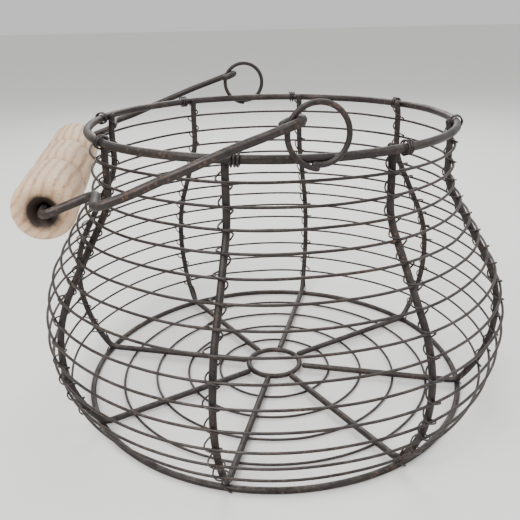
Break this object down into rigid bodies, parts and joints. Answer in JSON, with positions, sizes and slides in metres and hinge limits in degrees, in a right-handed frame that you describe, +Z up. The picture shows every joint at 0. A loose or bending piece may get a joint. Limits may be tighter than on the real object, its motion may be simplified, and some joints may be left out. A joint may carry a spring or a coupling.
{
  "type": "wire egg basket",
  "caption": "Round-bellied wire basket of ribs and thin hoops lashed with fine wire, with ring ears, a swinging wire bail and a turned wooden grip.",
  "frame": {"origin": "middle of the base ring, on the surface that the basket stands on", "axes": "+Z up along the basket's axis; the ears stand on -Y and +Y; the bail is folded down towards -X at rest"},
  "size_m": [0.2144, 0.2144, 0.1471],
  "materials": {
    "aged_iron_wire": "aged dark iron, satin, browned in places",
    "binding_wire": "fine dark iron wire, satin",
    "grip_wood": "pale turned wood, worn smooth, bare end grain"
  },
  "bodies": {
    "basket": {"rim_ring": "aged_iron_wire", "base_ring": "aged_iron_wire", "hub_ring": "aged_iron_wire", "hoop_01": "aged_iron_wire", "hoop_02": "aged_iron_wire", "hoop_03": "aged_iron_wire", "hoop_04": "aged_iron_wire", "hoop_05": "aged_iron_wire", "hoop_06": "aged_iron_wire", "hoop_07": "aged_iron_wire", "hoop_08": "aged_iron_wire", "hoop_09": "aged_iron_wire", "hoop_10": "aged_iron_wire", "hoop_11": "aged_iron_wire", "hoop_12": "aged_iron_wire", "hoop_13": "aged_iron_wire", "hoop_14": "aged_iron_wire", "floor_hoop_1": "aged_iron_wire", "floor_hoop_2": "aged_iron_wire", "floor_hoop_3": "aged_iron_wire", "floor_hoop_4": "aged_iron_wire", "rib_1": "aged_iron_wire", "rib_2": "aged_iron_wire", "rib_3": "aged_iron_wire", "rib_4": "aged_iron_wire", "rib_5": "aged_iron_wire", "rib_6": "aged_iron_wire", "rib_7": "aged_iron_wire", "rib_8": "aged_iron_wire", "binding_1": "binding_wire", "binding_2": "binding_wire", "binding_3": "binding_wire", "binding_4": "binding_wire", "binding_5": "binding_wire", "binding_6": "binding_wire", "binding_7": "binding_wire", "binding_8": "binding_wire", "ear_front": "aged_iron_wire", "ear_rear": "aged_iron_wire"},
    "bail": {"bail_wire": "aged_iron_wire"},
    "grip": {"grip": "grip_wood"}
  },
  "joints": [
    {"name": "bail_swing", "type": "hinge", "parent": "basket", "child": "bail", "pos_m": [0, 0, 0.13575], "axis": [0, 1, 0], "range_deg": [0, 170]},
    {"name": "grip_spin", "type": "hinge", "parent": "bail", "child": "grip", "pos_m": [-0.09205, 0, 0.10985], "axis": [0, 1, 0], "continuous": true}
  ]
}
